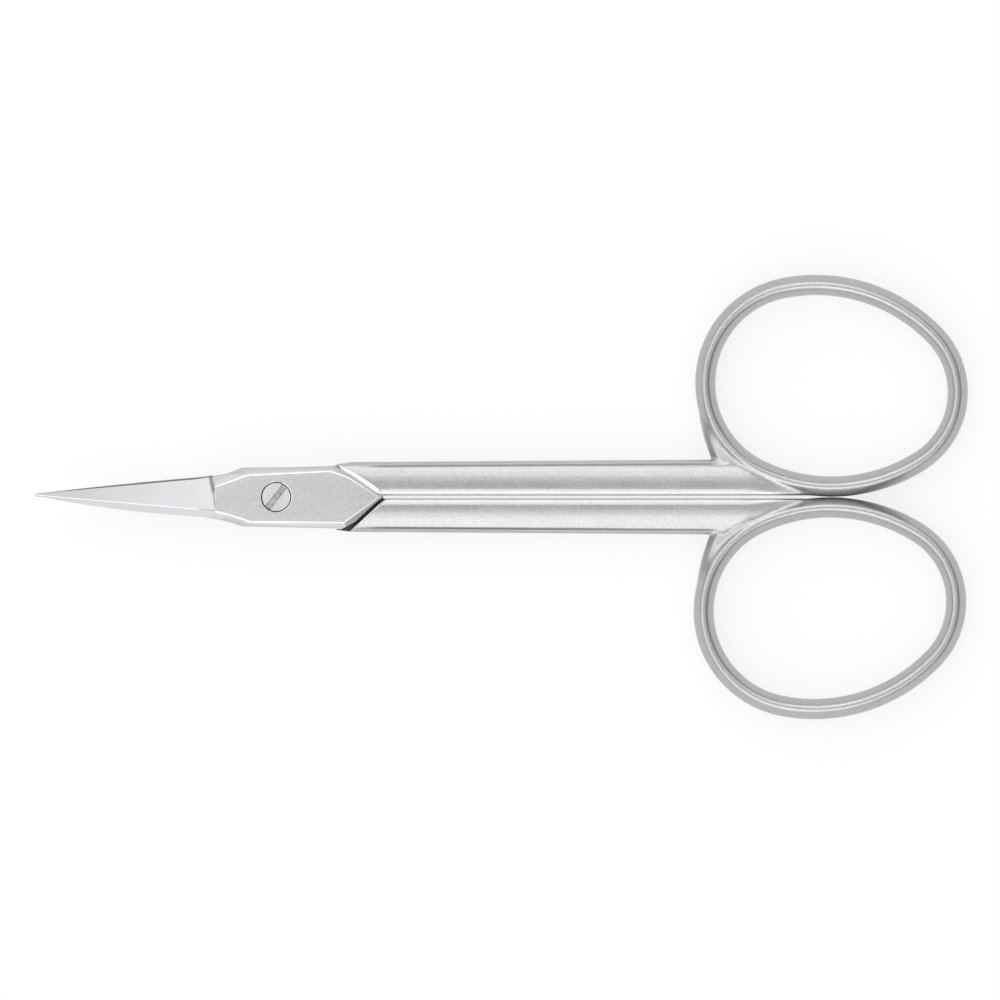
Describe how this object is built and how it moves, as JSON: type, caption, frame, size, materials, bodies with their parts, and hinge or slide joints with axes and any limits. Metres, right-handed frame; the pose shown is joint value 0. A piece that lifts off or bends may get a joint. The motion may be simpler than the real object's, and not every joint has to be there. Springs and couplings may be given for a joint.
{
  "type": "cuticle scissors",
  "caption": "Slim cuticle scissors with short curved pointed blades, crowned shanks, oval finger rings and a slotted pivot screw.",
  "frame": {"origin": "the pivot axis, where it leaves the back of the joint, in the plane that the scissors lie on", "axes": "+X along the closed shanks from the pivot towards the finger rings, +Y towards the front half's ring, +Z out of the front of the joint along the pivot axis"},
  "size_m": [0.09, 0.0428, 0.0052],
  "materials": {
    "steel": "satin stainless steel, blasted matt on the joint and fine ground on the blades",
    "screw_steel": "bright turned steel"
  },
  "bodies": {
    "rear": {"rear_half": "steel", "pivot_screw": "screw_steel"},
    "front": {"front_half": "steel"}
  },
  "joints": [
    {"name": "open", "type": "hinge", "parent": "rear", "child": "front", "pos_m": [0, 0, 0.0018], "axis": [0, 0, 1], "range_deg": [0, 110]}
  ]
}
